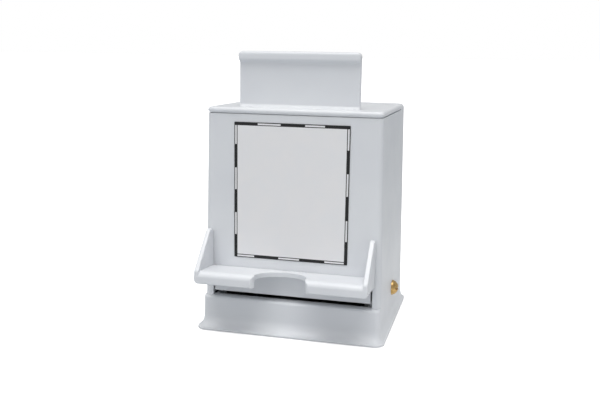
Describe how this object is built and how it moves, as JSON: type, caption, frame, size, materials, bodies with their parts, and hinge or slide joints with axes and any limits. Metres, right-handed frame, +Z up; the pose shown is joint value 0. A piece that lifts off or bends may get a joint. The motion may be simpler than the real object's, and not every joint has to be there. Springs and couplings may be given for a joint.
{
  "type": "dental cartridge warmer",
  "caption": "White tabletop box with a lidded hopper over a small lamp, and a pull-out front tray that brings out one dental cartridge at a time.",
  "frame": {"origin": "middle of the footprint at table level, under the centre of the bounding box", "axes": "+X to the right seen from the front, -Y is the front with the tray and label, +Z up"},
  "size_m": [0.0842, 0.0882, 0.1212],
  "materials": {
    "white_plastic": "smooth moulded, soft gloss",
    "grey_plastic": "fine matte moulding",
    "label_film": "printed film with a dashed border",
    "brass": "polished, slightly dulled",
    "steel": "zinc-plated",
    "aluminium": "mill finish sheet",
    "bright_aluminium": "bright rolled sheet",
    "black_phenolic": "moulded, dull gloss",
    "clear_glass": "clear blown glass",
    "mount_wire": "glass stem with nickel wires",
    "rubber": "soft matte",
    "black_nylon": "moulded nylon"
  },
  "bodies": {
    "case": {"housing_shell": "white_plastic", "hinge_pin": "steel", "drawer_bed": "aluminium", "stop_screws": "steel", "cheek_left": "aluminium", "cheek_right": "aluminium", "warming_plate": "aluminium", "hopper_back": "aluminium", "chassis_screws": "steel", "cross_bar": "aluminium", "side_screws": "brass", "lamp_socket": "black_phenolic", "socket_contact": "brass", "socket_screws": "steel", "lamp_cap": "brass", "lamp_glass": "clear_glass", "filament_mount": "mount_wire", "reflector": "bright_aluminium", "reflector_screw": "steel", "base_plate": "grey_plastic", "base_screws": "steel", "rubber_feet": "rubber", "cord_gland": "black_nylon", "gland_nut": "black_nylon", "label_plate": "label_film"},
    "lid": {"lid": "white_plastic"},
    "tray": {"dispensing_tray": "white_plastic"}
  },
  "joints": [
    {"name": "lid_hinge", "type": "hinge", "parent": "case", "child": "lid", "pos_m": [0, 0.02795, 0.0964], "axis": [-1, 0, 0], "range_deg": [0, 100]},
    {"name": "tray_slide", "type": "slide", "parent": "case", "child": "tray", "axis": [0, -1, 0], "range_m": [0, 0.0135]}
  ]
}
